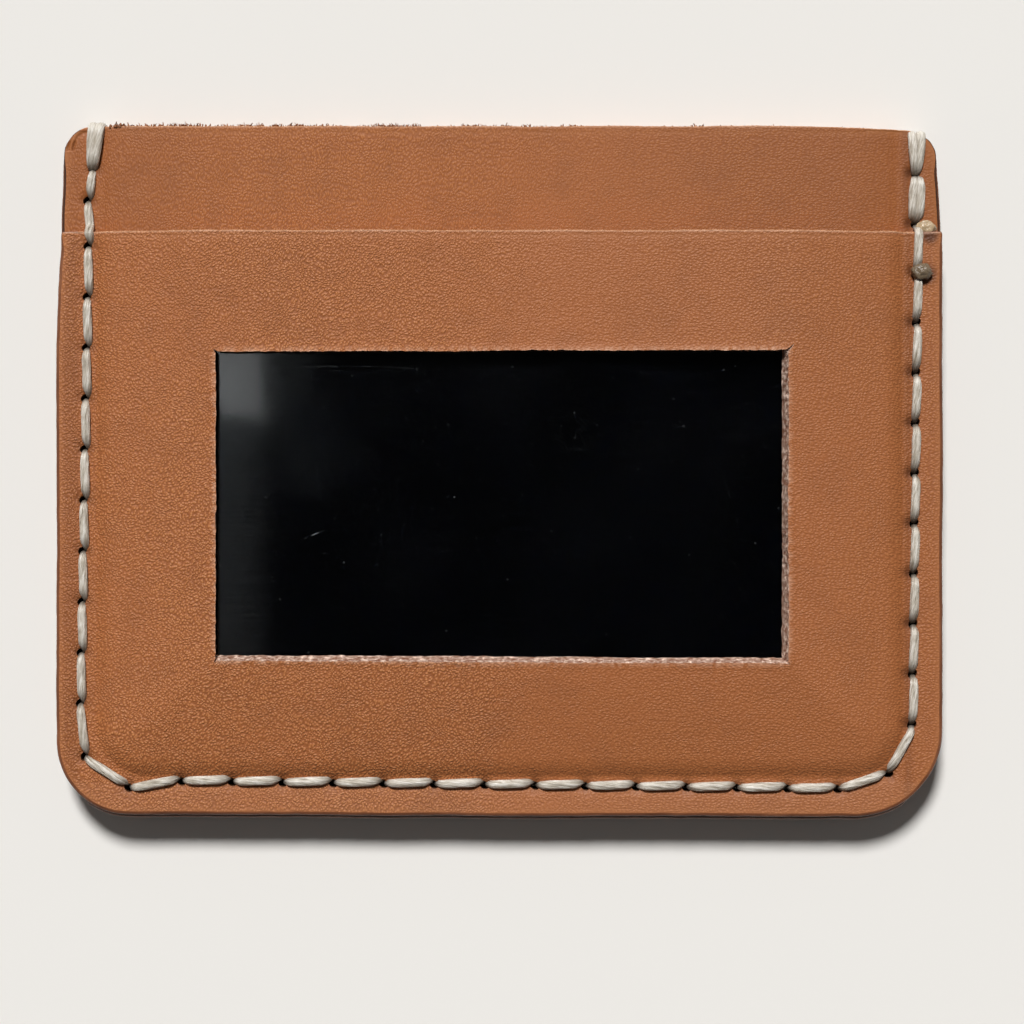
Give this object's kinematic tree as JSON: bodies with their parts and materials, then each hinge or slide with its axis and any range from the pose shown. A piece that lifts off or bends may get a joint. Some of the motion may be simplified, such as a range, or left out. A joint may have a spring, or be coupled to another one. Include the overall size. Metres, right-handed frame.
{
  "type": "leather card holder",
  "caption": "Hand-stitched leather card holder with a rear pocket, a window pocket with a clear pane, and a plain card that slides out.",
  "frame": {"origin": "centre of the holder's outline, on the surface it lies on", "axes": "+X across the holder, +Y towards the pocket mouths, +Z out of the window side"},
  "size_m": [0.102, 0.0804, 0.0073],
  "materials": {
    "leather": "vegetable-tanned, lightly pebbled grain, burnished edges",
    "clear_pane": "clear flexible sheet, lightly scratched",
    "tape": "double-sided adhesive tape",
    "card": "gloss black",
    "thread": "waxed twisted thread",
    "melted_thread": "melted and pressed thread end"
  },
  "bodies": {
    "holder": {"front_panel": "leather", "middle_panel": "leather", "back_panel": "leather", "window_pane": "clear_pane", "pane_tape_top": "tape", "pane_tape_bottom": "tape", "pane_tape_left": "tape", "pane_tape_right": "tape", "thread_half_a": "thread", "thread_half_b": "thread", "edge_wrap_left": "thread", "thread_tail_front": "thread", "thread_tail_back": "thread", "melted_end_upper": "melted_thread", "melted_end_lower": "melted_thread"},
    "card": {"id_card": "card"}
  },
  "joints": [
    {"name": "card_slide", "type": "slide", "parent": "holder", "child": "card", "axis": [0, 1, 0], "range_m": [0, 0.075]}
  ]
}
